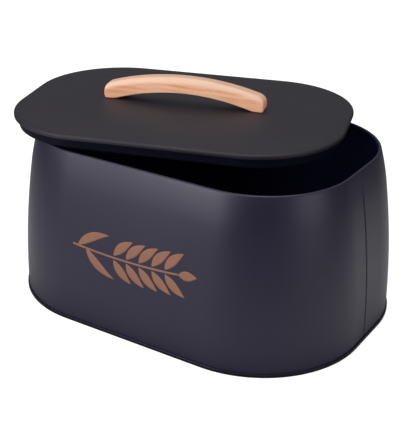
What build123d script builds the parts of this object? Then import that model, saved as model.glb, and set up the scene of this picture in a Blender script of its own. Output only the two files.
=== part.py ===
# Bread box: a steel bin with rounded ends, and a loose lid with a bent beech handle.
# The bin stands on the ring under its bottom seam. X runs along the bin, the printed
# front faces -Y, and Z is up from the surface the bin stands on. The lid lies askew on
# the rim, turned and shifted, as somebody leaves it when the bin is in use.

import math
import os

from build123d import *

# Bin, outside the bottom seam
base_length = 330.0
base_depth = 235.5
corner_radius = 95.1
rim_height = 151.0

# Sheet steel of the bin
sheet = 0.35
seam_gap = 0.03

# Wall: upright at the foot, then a long bow, then a tighter shoulder up to the rim
wall_bow_radius = 740.0
shoulder_height = 30.0
shoulder_radius = 230.0

# Rolled rim
rim_roll_radius = 1.5
rim_roll_turn = 250.0

# Double seam that joins the wall to the base
seam_height = 3.2
seam_flat_bend = 0.3

# Base panel, set up inside the seam, with a stiffening step
panel_height = 4.2
panel_bend = 0.8
step_inset = 16.0
step_drop = 1.2
step_slope = 45.0
step_bend = 1.5

# Upright lock seam of the wall, on the +X end
lock_seam_offset = -6.0
lock_seam_width = 5.0
lock_seam_layers = 2
lock_groove_width = 0.9
lock_groove_depth = 0.15
lock_seam_end = 2.0

# Lid sheet
lid_sheet = 0.4
lid_overhang = 1.85
lid_edge_height = 3.9
lid_edge_bend = 2.6
lid_crease_bend = 1.8
lid_bead_run = 1.2
lid_bead_lean = 9.0
lid_lip_bend = 0.4
lid_lip_width = 2.9
lid_crown_inset = 45.0
lid_crown_rise = 3.3

# Ring under the lid that drops into the mouth
skirt_clearance = 1.0
skirt_drop = 8.25
skirt_bend = 1.0
skirt_hem_gap = 0.2
skirt_hem_height = 1.2
joint_gap = 0.03

# Where the lid lies on the rim
lid_rest_gap = 0.25
lid_turn = 16.9
lid_shift_x = -35.4
lid_shift_y = 19.5

# Beech handle
handle_length = 146.2
handle_width = 15.4
handle_height = 24.4
handle_end_height = 12.7
handle_end_bulge = 0.9
handle_end_round = 6.5
handle_foot_length = 9.5
handle_foot_ease = 12.0
handle_arch_rise = 10.4
handle_bevel = 2.9
handle_edge_round = 1.2

# Screws and washers that hold the handle from below
screw_radius = 1.75
screw_length = 10.5
screw_tip_length = 2.5
screw_tip_width = 1.45
screw_head_radius = 3.5
screw_head_height = 2.4
screw_head_round = 1.2
screw_slot_width = 1.0
screw_slot_length = 4.4
screw_slot_depth = 1.3
screw_clearance = 0.25
screw_bite_gap = 0.05
washer_radius = 5.0
washer_thickness = 0.8

# Straight stretches of the rounded outline, the same for the bin and the lid
side_length = base_length - 2 * corner_radius
end_length = base_depth - 2 * corner_radius


# A sheet's section, as a face in the sketch that is open. It starts at a point, heading
# at an angle, and each move is (length,) for a straight stretch or (radius, turn) for a
# bend of the middle of the sheet, turning left where the turn is positive.
def sheet_section(start, heading, thickness, moves):
    half = thickness / 2
    point, angle = Vector(*start), heading
    left, right = [], []
    for move in moves:
        ahead = Vector(1, 0).rotate(Axis.Z, angle)
        side = ahead.rotate(Axis.Z, 90)
        if len(move) == 1:
            end = point + ahead * move[0]
            left.append([point + side * half, end + side * half])
            right.append([point - side * half, end - side * half])
            point = end
        else:
            radius, turn = move
            way = math.copysign(1, turn)
            centre = point + side * radius * way
            spokes = [(side * -way).rotate(Axis.Z, turn * share) for share in (0, 0.5, 1)]
            left.append([centre + spoke * (radius - half * way) for spoke in spokes])
            right.append([centre + spoke * (radius + half * way) for spoke in spokes])
            point, angle = centre + spokes[2] * radius, angle + turn
    with BuildLine() as outline:
        for run in left + right:
            if len(run) == 2:
                Line(*run)
            else:
                ThreePointArc(*run)
        Line(left[0][0], right[0][0])
        Line(left[-1][-1], right[-1][-1])
    make_face(outline.edges())


# Carries a section round the rounded outline, in the part that is open. The section's
# own x is measured outwards from the corner centres, and its y is height.
def carry_round(section, base):
    corners = [(1, 1), (-1, 1), (-1, -1), (1, -1)]
    for number, (x_way, y_way) in enumerate(corners):
        start = 90 * number
        stretch = end_length if number % 2 else side_length
        for turn, is_corner in ((start, True), (start + 90, False)):
            out = Vector(1, 0).rotate(Axis.Z, turn)
            centre = Vector(x_way * side_length / 2, y_way * end_length / 2)
            across = Vector(0, -1).rotate(Axis.Z, turn)
            spot = Plane(origin=centre, x_dir=out, z_dir=across)
            with BuildSketch(Plane(base.location * spot.location)) as placed:
                add(section)
            if is_corner:
                upright = Axis(base.from_local_coords(centre), base.z_dir)
                revolve(placed.sketch, axis=upright, revolution_arc=90)
            else:
                extrude(placed.sketch, amount=-stretch)


# A filled rounded outline on the open sketch, whose corners have the given radius.
def rounded_outline(radius):
    RectangleRounded(side_length + 2 * radius, end_length + 2 * radius, radius)


# Double seam: the outer wall and cover hook are the base's, the inner hook is the wall's.
seam_pitch = sheet + seam_gap
wall_foot_outer = corner_radius - 3 * seam_pitch
hook_turn_radius = (sheet + 2 * seam_gap + sheet) / 2
wall_hook_x = corner_radius - sheet - seam_gap - sheet / 2
wall_turn_height = sheet + seam_gap + hook_turn_radius + sheet / 2
cover_turn_height = seam_height - hook_turn_radius - sheet / 2

# Wall: bow and shoulder radii are those of its outside face.
bow_rise = rim_height - shoulder_height - seam_height
bow_turn = math.degrees(math.asin(bow_rise / wall_bow_radius))
lean_at_bow = math.sin(math.radians(bow_turn))
roll_share = rim_roll_radius / shoulder_radius
bow_top = rim_height - shoulder_height
roll_start_height = (
    rim_height - rim_roll_radius * (1 - lean_at_bow) - roll_share * bow_top
) / (1 - roll_share)
lean_at_roll = lean_at_bow + (roll_start_height - bow_top) / shoulder_radius
roll_lean = math.degrees(math.asin(lean_at_roll))
bow_inset = wall_bow_radius * (1 - math.cos(math.radians(bow_turn)))
shoulder_inset = shoulder_radius * (
    math.cos(math.radians(bow_turn)) - math.cos(math.radians(roll_lean))
)
roll_start_x = wall_foot_outer - bow_inset - shoulder_inset
rim_crest_x = roll_start_x - rim_roll_radius * math.cos(math.radians(roll_lean))
mouth_x = rim_crest_x - rim_roll_radius

wall_moves = [
    (cover_turn_height - wall_turn_height,),
    (hook_turn_radius, -180),
    (seam_height - wall_turn_height,),
    (wall_bow_radius - sheet / 2, bow_turn),
    (shoulder_radius - sheet / 2, roll_lean - bow_turn),
    (rim_roll_radius - sheet / 2, rim_roll_turn),
]

with BuildSketch() as wall_section:
    sheet_section((wall_hook_x, cover_turn_height), -90, sheet, wall_moves)

# The lock seam's layers lie inside the wall, and its crease shows outside.
lock_thickness = lock_seam_layers * sheet + sheet / 2
lock_middle = sheet / 2 + lock_thickness / 2
lock_start = panel_height + panel_bend
lock_start_turn = math.degrees(math.asin((lock_start - seam_height) / wall_bow_radius))
lock_end_turn = roll_lean - math.degrees(lock_seam_end / shoulder_radius)


def lock_strip(middle, thickness, start_turn, end_turn):
    turned = Vector(1, 0).rotate(Axis.Z, start_turn)
    bow_centre = Vector(wall_foot_outer - wall_bow_radius, seam_height)
    start = bow_centre + turned * (wall_bow_radius - middle)
    moves = [
        (wall_bow_radius - middle, bow_turn - start_turn),
        (shoulder_radius - middle, end_turn - bow_turn),
    ]
    sheet_section((start.X, start.Y), 90 + start_turn, thickness, moves)


with BuildPart() as body_wall:
    carry_round(wall_section.sketch, Plane.XY)
    lock_plane = Plane(
        origin=(side_length / 2, lock_seam_offset, 0), x_dir=(1, 0, 0), z_dir=(0, -1, 0)
    )
    with BuildSketch(lock_plane):
        lock_strip(lock_middle, lock_thickness, lock_start_turn, lock_end_turn)
    extrude(amount=lock_seam_width / 2, both=True)
    with BuildSketch(lock_plane):
        lock_strip(0, 2 * lock_groove_depth, 0, roll_lean)
    extrude(amount=lock_groove_width / 2, both=True, mode=Mode.SUBTRACT)

body_wall.part.label = "body_wall"

# Base: cover hook, seam wall, flat ring that it stands on, inner wall and stepped panel.
inner_wall_x = wall_foot_outer - seam_pitch - sheet / 2
ring_width = corner_radius - sheet / 2 - inner_wall_x
ring_bend = seam_flat_bend + sheet / 2
cover_hook_x = corner_radius - 2 * seam_pitch - sheet / 2
cover_hook_end = wall_turn_height
panel_bend_middle = panel_bend + sheet / 2
step_bend_middle = step_bend + sheet / 2
step_bend_drop = step_bend_middle * (1 - math.cos(math.radians(step_slope)))
step_straight = (step_drop - 2 * step_bend_drop) / math.sin(math.radians(step_slope))

base_moves = [
    (cover_turn_height - cover_hook_end,),
    (hook_turn_radius, -180),
    (cover_turn_height - sheet / 2 - ring_bend,),
    (ring_bend, -90),
    (ring_width - 2 * ring_bend,),
    (ring_bend, -90),
    (panel_height - sheet - ring_bend - panel_bend_middle,),
    (panel_bend_middle, 90),
    (step_inset,),
    (step_bend_middle, step_slope),
    (step_straight,),
    (step_bend_middle, -step_slope),
]
step_run = 2 * step_bend_middle * math.sin(math.radians(step_slope)) + step_straight * math.cos(
    math.radians(step_slope)
)
panel_edge_x = inner_wall_x - panel_bend_middle - step_inset - step_run
inner_panel_height = panel_height - step_drop

with BuildSketch() as base_section:
    sheet_section((cover_hook_x, cover_hook_end), 90, sheet, base_moves)

with BuildPart() as base_pan:
    carry_round(base_section.sketch, Plane.XY)
    with BuildSketch(Plane.XY.offset(inner_panel_height)):
        rounded_outline(panel_edge_x)
    extrude(amount=-sheet)

base_pan.part.label = "base_pan"

# Lid: flat in the middle, falling in an arc to a crease, from which a bead leans up to
# the edge, which turns down and in again under the ring's flange.
lid_edge_x = rim_crest_x + lid_overhang
bead_sine = math.sin(math.radians(lid_bead_lean))
bead_cosine = math.cos(math.radians(lid_bead_lean))
edge_bend_middle = lid_edge_bend - lid_sheet / 2
crease_middle = lid_crease_bend + lid_sheet / 2
bead_width = (
    lid_sheet / 2
    + edge_bend_middle * (1 + bead_sine)
    + lid_bead_run * bead_cosine
    + crease_middle * bead_sine
)
crown_run = lid_crown_inset - bead_width
crown_radius = (crown_run**2 + lid_crown_rise**2) / (2 * lid_crown_rise)
crown_turn = math.degrees(math.asin(crown_run / crown_radius))
crown_sine = math.sin(math.radians(crown_turn))
crown_cosine = math.cos(math.radians(crown_turn))
crown_middle = crown_radius - lid_sheet / 2
crown_start_x = lid_edge_x - bead_width - (crease_middle + crown_middle) * crown_sine
lid_top_height = skirt_drop + lid_edge_height + lid_crown_rise
lid_under_height = lid_top_height - lid_sheet
lip_bend_middle = lid_lip_bend + lid_sheet / 2
edge_straight = (
    lid_edge_height
    + (crease_middle - lid_sheet / 2) * crown_cosine
    + lid_bead_run * bead_sine
    - (crease_middle + edge_bend_middle) * bead_cosine
    - lip_bend_middle
    - lid_sheet / 2
)

lid_moves = [
    (crown_middle, -crown_turn),
    (crease_middle, crown_turn + lid_bead_lean),
    (lid_bead_run,),
    (edge_bend_middle, -lid_bead_lean - 90),
    (edge_straight,),
    (lip_bend_middle, -90),
    (lid_lip_width - lip_bend_middle - lid_sheet / 2,),
]

with BuildSketch() as lid_section:
    lid_start = (crown_start_x, lid_top_height - lid_sheet / 2)
    sheet_section(lid_start, 0, lid_sheet, lid_moves)

lid_plane = Plane(
    origin=(lid_shift_x, lid_shift_y, rim_height + lid_rest_gap),
    x_dir=Vector(1, 0).rotate(Axis.Z, lid_turn),
    z_dir=(0, 0, 1),
)
screw_x = (handle_length - handle_foot_length) / 2

with BuildPart() as lid_top:
    carry_round(lid_section.sketch, lid_plane)
    with BuildSketch(lid_plane.offset(lid_top_height)):
        rounded_outline(crown_start_x)
        with Locations((-screw_x, 0), (screw_x, 0)):
            Circle(screw_radius + screw_clearance, mode=Mode.SUBTRACT)
    extrude(amount=-lid_sheet)

lid_top.part.label = "lid_top"

# Ring under the lid: its flange lies on the lid's lip, and its skirt hangs just inside
# the mouth when the lid is shut.
skirt_x = mouth_x - skirt_clearance
skirt_middle_x = skirt_x - sheet / 2
skirt_bend_middle = skirt_bend + sheet / 2
flange_edge_x = lid_edge_x - lid_sheet - lid_lip_bend
flange_height = skirt_drop + lid_sheet + joint_gap + sheet / 2
skirt_hem_turn = (skirt_hem_gap + sheet) / 2

skirt_moves = [
    (flange_edge_x - skirt_middle_x - skirt_bend_middle,),
    (skirt_bend_middle, 90),
    (flange_height - skirt_bend_middle - skirt_hem_turn - sheet / 2,),
    (skirt_hem_turn, -180),
    (skirt_hem_height,),
]

with BuildSketch() as skirt_section:
    sheet_section((flange_edge_x, flange_height), 180, sheet, skirt_moves)

with BuildPart() as lid_skirt_ring:
    carry_round(skirt_section.sketch, lid_plane)

lid_skirt_ring.part.label = "lid_skirt_ring"

# Handle: a flat foot at each end that eases into the arch between, bulging ends, and a
# bevel along the top and down the ends' round corners.
handle_plane = lid_plane.offset(lid_top_height + joint_gap)
handle_side = Plane(handle_plane.location * Plane.XZ.location)
half_length = handle_length / 2
arch_half = half_length - handle_foot_length
washer_top = lid_under_height - joint_gap
head_top = washer_top - washer_thickness - joint_gap
bite_depth = head_top + screw_length - lid_top_height - joint_gap


# Whether two edges share an end; an edge shares both with itself.
def share_an_end(edge, other):
    return min((edge @ one - other @ two).length for one in (0, 1) for two in (0, 1)) < joint_gap


with BuildPart() as handle:
    with BuildSketch(handle_side) as handle_outline:
        with BuildLine():
            for way in (-1, 1):
                end = way * half_length
                Line((way * arch_half, 0), (end, 0))
                bulge_middle = (end + way * handle_end_bulge, handle_end_height / 2)
                ThreePointArc((end, 0), bulge_middle, (end, handle_end_height))
            ThreePointArc(
                (half_length, handle_end_height),
                (0, handle_height),
                (-half_length, handle_end_height),
            )
            ThreePointArc((-arch_half, 0), (0, handle_arch_rise), (arch_half, 0))
        make_face()
        corners = handle_outline.vertices()
        fillet(corners.group_by(Axis.Y)[-1], handle_end_round)
        arch_ends = corners.group_by(Axis.Y)[0].sort_by(Axis.X)[1:-1]
        fillet(arch_ends, handle_foot_ease)
    extrude(amount=handle_width / 2, both=True)
    side_way = Axis(handle_plane.origin, handle_plane.y_dir)
    bevelled = []
    for face in handle.faces().filter_by(side_way):
        top_arc = face.edges().sort_by(SortBy.LENGTH)[-1]
        bevelled += [edge for edge in face.edges() if share_an_end(edge, top_arc)]
    chamfer(bevelled, handle_bevel)
    rounded = []
    for face in handle.faces().filter_by(side_way):
        rounded += face.edges().sort_by(SortBy.LENGTH)[:-1]
    fillet(rounded, handle_edge_round)
    with BuildSketch(handle_plane):
        with Locations((-screw_x, 0), (screw_x, 0)):
            Circle(screw_radius + screw_bite_gap)
    extrude(amount=bite_depth + screw_bite_gap, mode=Mode.SUBTRACT)

handle.part.label = "handle"

os.makedirs("parts", exist_ok=True)
for piece in (body_wall, base_pan, lid_top, lid_skirt_ring, handle):
    export_step(piece.part, f"parts/{piece.part.label}.step")

# A washer and a cross-headed screw under each foot of the handle
for side, screw_way in (("left", -1), ("right", 1)):
    with BuildPart() as washer:
        with BuildSketch(lid_plane.offset(washer_top)):
            with Locations((screw_way * screw_x, 0)):
                Circle(washer_radius)
                Circle(screw_radius + screw_clearance, mode=Mode.SUBTRACT)
        extrude(amount=-washer_thickness)
    washer.part.label = f"handle_washer_{side}"
    export_step(washer.part, f"parts/{washer.part.label}.step")

    with BuildPart() as screw:
        with BuildSketch(lid_plane.offset(head_top)):
            with Locations((screw_way * screw_x, 0)):
                Circle(screw_head_radius)
        extrude(amount=-screw_head_height)
        fillet(screw.edges().group_by(Axis.Z)[0], screw_head_round)
        with BuildSketch(lid_plane.offset(head_top - screw_head_height)):
            with Locations((screw_way * screw_x, 0)):
                Rectangle(screw_slot_length, screw_slot_width)
                Rectangle(screw_slot_width, screw_slot_length)
        extrude(amount=screw_slot_depth, mode=Mode.SUBTRACT)
        with BuildSketch(lid_plane.offset(head_top)):
            with Locations((screw_way * screw_x, 0)):
                Circle(screw_radius)
        extrude(amount=screw_length)
        chamfer(screw.edges().group_by(Axis.Z)[-1], screw_tip_length, screw_tip_width)
    screw.part.label = f"handle_screw_{side}"
    export_step(screw.part, f"parts/{screw.part.label}.step")
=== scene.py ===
import math

import bmesh
import bpy
import numpy as np
from mathutils import Matrix, Vector


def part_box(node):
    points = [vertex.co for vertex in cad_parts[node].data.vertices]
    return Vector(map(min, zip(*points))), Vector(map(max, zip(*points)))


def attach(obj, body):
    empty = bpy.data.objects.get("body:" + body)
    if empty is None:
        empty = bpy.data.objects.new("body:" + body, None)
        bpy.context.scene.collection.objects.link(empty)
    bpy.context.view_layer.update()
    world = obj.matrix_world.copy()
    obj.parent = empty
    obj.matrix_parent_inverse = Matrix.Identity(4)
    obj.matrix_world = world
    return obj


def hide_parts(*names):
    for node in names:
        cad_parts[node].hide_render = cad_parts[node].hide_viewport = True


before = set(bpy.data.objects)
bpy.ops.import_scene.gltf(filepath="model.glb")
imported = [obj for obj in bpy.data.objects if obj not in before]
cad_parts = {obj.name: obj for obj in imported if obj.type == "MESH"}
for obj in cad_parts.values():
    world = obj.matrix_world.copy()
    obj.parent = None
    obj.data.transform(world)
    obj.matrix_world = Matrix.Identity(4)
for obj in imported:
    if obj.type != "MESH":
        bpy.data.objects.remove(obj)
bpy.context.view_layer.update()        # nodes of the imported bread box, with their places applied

mm = 0.001


# Geometry helpers

# Points nearer than a gap count as one, and a bend of at least wideRadius gets wideSteps times as
# many steps as a tighter one of the same turn.
meshing = {
    "repeatGap": 1e-7,
    "mergeGap": 2e-6,
    "wideRadius": 10 * mm,
    "wideSteps": 12,
}


# Points of an arc: centre + radius * (cos, sin) from one angle to another, about stepDegrees apart.
def arcPoints(centre, radius, startDegrees, endDegrees, stepDegrees):
    steps = max(2, math.ceil(abs(endDegrees - startDegrees) / stepDegrees) + 1)
    angles = np.radians(np.linspace(startDegrees, endDegrees, steps))
    return np.array(centre) + radius * np.column_stack([np.cos(angles), np.sin(angles)])


# Radius of an arc from half its chord and its rise: the sum of their squares over twice the rise.
def arcRadius(halfChord, rise):
    return (halfChord**2 + rise**2) / (2 * rise)


# Rises smoothly from 0 to 1 between two values: three times the share's square less twice its cube.
def smoothStep(value, low, high):
    share = np.clip((value - low) / (high - low), 0, 1)
    return share * share * (3 - 2 * share)


# Drops each point that repeats the one before it.
def withoutRepeats(points):
    gaps = np.linalg.norm(np.diff(points, axis=0), axis=1)
    return points[np.concatenate([[True], gaps > meshing["repeatGap"]])]


# The two faces of a folded sheet, as rows of (distance, height). The middle line runs straight for
# moves (length,) and bends for moves (radius, turn), and each face lies half a thickness beside it.
def foldedSheet(start, headingDegrees, thickness, moves, stepDegrees):
    point, heading = np.array(start, float), headingDegrees
    leftFace, rightFace = [], []
    for move in moves:
        ahead = np.array([math.cos(math.radians(heading)), math.sin(math.radians(heading))])
        side = np.array([-ahead[1], ahead[0]])
        if len(move) == 1:
            ends = np.array([point, point + ahead * move[0]])
            leftFace.append(ends + side * thickness / 2)
            rightFace.append(ends - side * thickness / 2)
            point = ends[1]
        else:
            radius, turn = move
            way = math.copysign(1, turn)
            centre = point + side * radius * way
            first = heading - 90 * way
            finer = meshing["wideSteps"] if radius >= meshing["wideRadius"] else 1
            for face, edge in ((leftFace, -1), (rightFace, 1)):
                faceRadius = radius + edge * way * thickness / 2
                face.append(arcPoints(centre, faceRadius, first, first + turn, stepDegrees / finer))
            point = arcPoints(centre, radius, first + turn, first + turn, stepDegrees)[0]
            heading += turn
    return withoutRepeats(np.vstack(leftFace)), withoutRepeats(np.vstack(rightFace))


# Stations round a rectangle with round corners: each has an angle for its outward direction and a
# corner centre. Stations on the +X end, at the given heights along Y, stand between the last corner
# and the first.
def roundStations(cornerSteps, endStations=()):
    corner = np.arange(4).repeat(cornerSteps + 1)
    angle = np.radians(np.tile(np.linspace(0, 90, cornerSteps + 1), 4) + 90 * corner)
    centreX = halfLength * np.array([1, -1, -1, 1])[corner]
    centreY = halfDepth * np.array([1, 1, -1, -1])[corner]
    extra = np.array(endStations, float)
    return (np.concatenate([angle, np.zeros(len(extra))]),
            np.concatenate([centreX, np.full(len(extra), halfLength)]),
            np.concatenate([centreY, extra]))


# Carries an outline of (distance, height) round the stations: distance outward, height up.
def carryRound(outline, stations):
    angle, centreX, centreY = (values[:, None] for values in stations)
    distance, height = outline[:, 0], outline[:, 1]
    return np.stack(np.broadcast_arrays(centreX + distance * np.cos(angle),
                                        centreY + distance * np.sin(angle), height), axis=-1)


# Quads of a grid of rows and columns, closed or open each way.
def gridFaces(rows, columns, rowsClosed, columnsClosed):
    row, column = np.meshgrid(np.arange(rows if rowsClosed else rows - 1),
                              np.arange(columns if columnsClosed else columns - 1), indexing="ij")
    nextRow, nextColumn = (row + 1) % rows, (column + 1) % columns
    corners = [row * columns + column, nextRow * columns + column,
               nextRow * columns + nextColumn, row * columns + nextColumn]
    return np.stack(corners, axis=-1).reshape(-1, 4)


# A smooth piece from vertices and faces: doubles merged, open ends filled, normals outward.
def makePiece(name, vertices, faces, material, body, place=None):
    mesh = bpy.data.meshes.new(name)
    if place is not None:
        vertices = vertices @ np.array(place.to_3x3()).T + np.array(place.translation)
    mesh.from_pydata(vertices.tolist(), [], faces.tolist())
    work = bmesh.new()
    work.from_mesh(mesh)
    bmesh.ops.remove_doubles(work, verts=work.verts, dist=meshing["mergeGap"])
    bmesh.ops.dissolve_degenerate(work, edges=work.edges, dist=meshing["repeatGap"])
    openEdges = [edge for edge in work.edges if edge.is_boundary]
    if openEdges:
        bmesh.ops.holes_fill(work, edges=openEdges, sides=0)        # 0 fills a hole of any size
    bmesh.ops.recalc_face_normals(work, faces=work.faces)
    work.to_mesh(mesh)
    work.free()
    mesh.shade_smooth()
    mesh.materials.append(material)
    piece = bpy.data.objects.new(name, mesh)
    bpy.context.collection.objects.link(piece)
    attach(piece, body)
    return piece


# A piece from a grid of points, whose rows and columns are closed or open.
def gridPiece(name, points, rowsClosed, columnsClosed, material, body, place=None):
    rows, columns = points.shape[:2]
    faces = gridFaces(rows, columns, rowsClosed, columnsClosed)
    return makePiece(name, points.reshape(-1, 3), faces, material, body, place)


# Keeps the shading of flats flat where they meet small bends.
def weighNormals(piece):
    weighted = piece.modifiers.new("weighted", "WEIGHTED_NORMAL")
    weighted.weight = 100        # the largest faces decide
    weighted.keep_sharp = True


# Material helpers

# A colour without transparency, from three parts or one grey tone.
def opaque(colour):
    return (*(np.ones(3) * colour), 1)


# Sets a node's inputs by name or number: a socket is linked, and any other value is set.
def setInputs(tree, node, inputs):
    for name, value in inputs.items():
        if isinstance(value, bpy.types.NodeSocket):
            tree.links.new(value, node.inputs[name])
        else:
            node.inputs[name].default_value = value


# A node with its settings and its inputs.
def addNode(tree, kind, inputs=None, **settings):
    made = tree.nodes.new(kind)
    for name, value in settings.items():
        setattr(made, name, value)
    setInputs(tree, made, inputs or {})
    return made


# Result of an operation on numbers.
def numberOf(tree, operation, *given):
    return addNode(tree, "ShaderNodeMath", dict(enumerate(given)), operation=operation).outputs[0]


# Result of an operation on vectors, which is a number for a length.
def vectorOf(tree, operation, *given):
    made = addNode(tree, "ShaderNodeVectorMath", dict(enumerate(given)), operation=operation)
    return made.outputs["Value" if operation == "LENGTH" else "Vector"]


# A value's share of the way from low to high, held within 0 and 1, laid between two new ends.
def rangeOf(tree, value, low, high, newLow=0.0, newHigh=1.0):
    made = addNode(tree, "ShaderNodeMapRange", {
        "Value": value, "From Min": low, "From Max": high, "To Min": newLow, "To Max": newHigh})
    return made.outputs["Result"]


# One colour mixed with the given share of another.
def mixOf(tree, share, first, second):
    made = addNode(tree, "ShaderNodeMix", {0: share, 6: first, 7: second}, data_type="RGBA")
    return made.outputs[2]


# The colour at a value on a ramp with stops of (place, colour or grey tone).
def rampOf(tree, value, stops):
    made = addNode(tree, "ShaderNodeValToRGB", {"Fac": value})
    ramp = made.color_ramp
    while len(ramp.elements) < len(stops):
        ramp.elements.new(0.5)        # anywhere, because every stop is placed below
    for element, (place, colour) in zip(ramp.elements, stops):
        element.position, element.color = place, opaque(colour)
    return made.outputs["Color"]


# A new material with its Principled shader.
def newMaterial(name, inputs):
    material = bpy.data.materials.new(name)
    material.use_nodes = True
    tree = material.node_tree
    shader = tree.nodes["Principled BSDF"]
    setInputs(tree, shader, inputs)
    return material, tree, shader


# Shared finish of sprayed and printed coats: a fine pebbled height, broad clouds that brighten and
# darken the colour by the given variation, and a roughness that wanders with them.
sprayLook = {
    "pebbleDetail": 2.0,
    "pebbleRoughness": 0.45,
    "cloudsPerMetre": 14.0,
    "cloudDetail": 3.0,
    "cloudRange": (0.35, 0.65),
    "roughnessChange": 0.025,
}


# Colour times (1 + variation * cloud), roughness + change * cloud, and the pebbles as the height,
# with clouds from -1 to 1 and one pebble to each pebble size.
def makeCoatGroup():
    group = bpy.data.node_groups.new("sprayedCoat", "ShaderNodeTree")
    for way, name, kind in (
        ("INPUT", "Color", "NodeSocketColor"),
        ("INPUT", "Variation", "NodeSocketFloat"),
        ("INPUT", "Roughness", "NodeSocketFloat"),
        ("INPUT", "Pebble Size", "NodeSocketFloat"),
        ("OUTPUT", "Color", "NodeSocketColor"),
        ("OUTPUT", "Roughness", "NodeSocketFloat"),
        ("OUTPUT", "Height", "NodeSocketFloat"),
    ):
        group.interface.new_socket(name, in_out=way, socket_type=kind)
    given = addNode(group, "NodeGroupInput").outputs
    position = addNode(group, "ShaderNodeTexCoord").outputs["Object"]
    pebbles = addNode(group, "ShaderNodeTexNoise", {
        "Vector": position,
        "Scale": numberOf(group, "DIVIDE", 1.0, given["Pebble Size"]),
        "Detail": sprayLook["pebbleDetail"],
        "Roughness": sprayLook["pebbleRoughness"],
    })
    clouds = addNode(group, "ShaderNodeTexNoise", {
        "Vector": position,
        "Scale": sprayLook["cloudsPerMetre"],
        "Detail": sprayLook["cloudDetail"],
    })
    cloud = rangeOf(group, clouds.outputs["Fac"], *sprayLook["cloudRange"], -1.0, 1.0)
    gain = numberOf(group, "ADD", numberOf(group, "MULTIPLY", cloud, given["Variation"]), 1.0)
    tinted = addNode(group, "ShaderNodeVectorMath", {0: given["Color"], "Scale": gain},
                     operation="SCALE")
    roughChange = numberOf(group, "MULTIPLY", cloud, sprayLook["roughnessChange"])
    addNode(group, "NodeGroupOutput", {
        "Color": tinted.outputs["Vector"],
        "Roughness": numberOf(group, "ADD", roughChange, given["Roughness"]),
        "Height": pebbles.outputs["Fac"],
    })
    return group


coatGroup = makeCoatGroup()


# A coated, printed or plated material: the shared coat's colour, roughness and pebbled bump.
def makeCoat(name, finish):
    material, tree, shader = newMaterial(name, {
        "Specular IOR Level": finish["specular"],
        "Specular Tint": opaque(finish["specularTint"]),
        "Metallic": finish["metallic"],
    })
    coat = addNode(tree, "ShaderNodeGroup", {
        "Color": opaque(finish["colour"]),
        "Variation": finish["variation"],
        "Roughness": finish["roughness"],
        "Pebble Size": finish["pebbleSize"],
    }, node_tree=coatGroup).outputs
    bump = addNode(tree, "ShaderNodeBump", {
        "Strength": finish["bumpStrength"],
        "Distance": finish["bumpDistance"],
        "Height": coat["Height"],
    })
    setInputs(tree, shader, {
        "Base Color": coat["Color"],
        "Roughness": coat["Roughness"],
        "Normal": bump.outputs["Normal"],
    })
    return material


# Finishes: the five coats share the outside's pebbles. The skirt's, which the lock seam's slot has
# too, and the foot's are the outside paint made darker as painted shade, for the shade under the
# lid's edge, in the seam's fold and at the floor. The inside coat is the same paint made paler and
# bluer as painted light in the dim inside.
outsideCoatFinish = {
    "colour": (0.0075, 0.0060, 0.0215),
    "specular": 0.5,
    "specularTint": (0.96, 0.95, 1.0),
    "metallic": 0.0,
    "roughness": 0.42,
    "variation": 0.05,
    "pebbleSize": 0.5 * mm,
    "bumpStrength": 0.25,
    "bumpDistance": 0.04 * mm,
}
# Painted light: the outside paint made paler and bluer, so that the dim inside still shows navy.
insidePaintedLightFinish = {
    **outsideCoatFinish,
    "colour": (0.019, 0.019, 0.066),
    "specular": 0.22,
    "roughness": 0.5,
}
lidCoatFinish = {
    **outsideCoatFinish,
    "colour": (0.0060, 0.0044, 0.0095),
    "roughness": 0.55,
}
# Painted shade: the outside paint made darker and duller for the shade under the lid's overhang and
# in the lock seam's slot.
paintedShadeFinish = {
    **outsideCoatFinish,
    "colour": (0.0028, 0.0028, 0.0085),
    "specular": 0.08,
    "roughness": 0.5,
}
# Painted shade: the outside paint made darker on the seam's bead at the foot, for the contact shade
# beside the floor.
footPaintedShadeFinish = {
    **outsideCoatFinish,
    "colour": (0.0030, 0.0026, 0.0080),
    "specular": 0.28,
    "roughness": 0.28,
}
printFinish = {
    "colour": (0.228, 0.103, 0.061),
    "specular": 0.3,
    "specularTint": (1, 1, 1),
    "metallic": 0.0,
    "roughness": 0.45,
    "variation": 0.06,
    "pebbleSize": 0.4 * mm,
    "bumpStrength": 0.3,
    "bumpDistance": 0.03 * mm,
}
zincFinish = {
    **printFinish,
    "colour": (0.55, 0.55, 0.56),
    "specular": 0.5,
    "metallic": 1.0,
    "roughness": 0.3,
    "variation": 0.12,
    "pebbleSize": 0.8 * mm,
}
outsideCoat = makeCoat("outsideCoat", outsideCoatFinish)
insidePaintedLightCoat = makeCoat("insidePaintedLightCoat", insidePaintedLightFinish)
lidCoat = makeCoat("lidCoat", lidCoatFinish)
paintedShadeCoat = makeCoat("paintedShadeCoat", paintedShadeFinish)
footPaintedShadeCoat = makeCoat("footPaintedShadeCoat", footPaintedShadeFinish)
copperPrint = makeCoat("copperPrint", printFinish)
zincPlate = makeCoat("zincPlate", zincFinish)
print("coats made")


# Bin: the wall and the base share one rounded outline, measured out from the corner centres, which
# are the corners of an inner rectangle. Turns are in degrees.

binShape = {
    "cornerRadius": 95.1 * mm,
    "sheet": 0.35 * mm,
    "seamGap": 0.03 * mm,
    "seamHeight": 3.2 * mm,
    "bowRadius": 740 * mm,
    "shoulderRadius": 230 * mm,
    "shoulderHeight": 30 * mm,
    "rollRadius": 1.5 * mm,
    "rollTurn": 250,
    "insidePaintedLightDrop": 1.2 * mm,
    "cornerSteps": 28,
    "bendStep": 12,
}
baseLow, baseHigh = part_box("base_pan")
halfLength = (baseHigh.x - baseLow.x) / 2 - binShape["cornerRadius"]
halfDepth = (baseHigh.y - baseLow.y) / 2 - binShape["cornerRadius"]
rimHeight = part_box("body_wall")[1].z

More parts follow.
